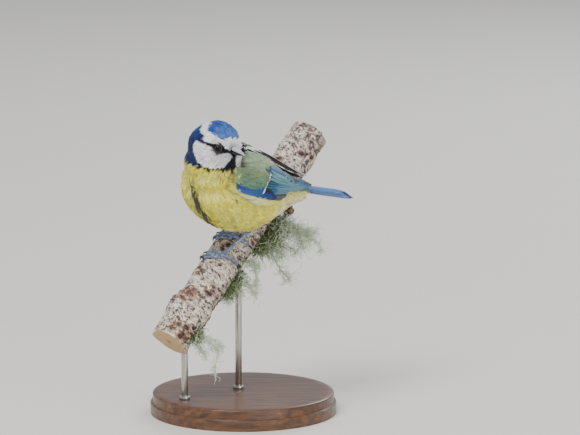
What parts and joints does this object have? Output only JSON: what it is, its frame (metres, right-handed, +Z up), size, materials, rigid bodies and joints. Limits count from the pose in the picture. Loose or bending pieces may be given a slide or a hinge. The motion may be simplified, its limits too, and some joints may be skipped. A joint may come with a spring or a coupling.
{
  "type": "blue tit",
  "caption": "Life-size still blue tit gripping a sloping cut length of lichened branch, head turned back over its shoulder, on a round display stand.",
  "frame": {"origin": "middle of the stand's underside", "axes": "+Z up, square to the underside; the bird's body heads towards -X and -Y with its tail towards +X and +Y, and its head looks towards +X and -Y, so the picture's view is from -Y"},
  "size_m": [0.096, 0.0901, 0.1442],
  "materials": {
    "white_plumage": "soft and matt",
    "collar_plumage": "soft and matt",
    "yellow_plumage": "soft and matt",
    "wing_plumage": "smooth, faint sheen",
    "tail_plumage": "smooth, faint sheen",
    "eye": "polished",
    "bill": "horn, satin",
    "leg": "scaled, satin",
    "bark": "rough bark",
    "lichen": "dry, matt",
    "plinth": "satin varnish",
    "rod": "brushed"
  },
  "bodies": {
    "root": {"torso": "yellow_plumage", "neck": "collar_plumage", "head": "white_plumage", "bill_upper": "bill", "bill_lower": "bill", "eye_left": "eye", "eye_right": "eye", "wing_left": "wing_plumage", "wing_right": "wing_plumage", "tail": "tail_plumage", "leg_left": "leg", "leg_right": "leg", "perch": "bark", "lichen_upper": "lichen", "lichen_middle": "lichen", "lichen_lower": "lichen", "stand_base": "plinth", "stand_rod_1": "rod", "stand_rod_2": "rod"}
  },
  "joints": []
}
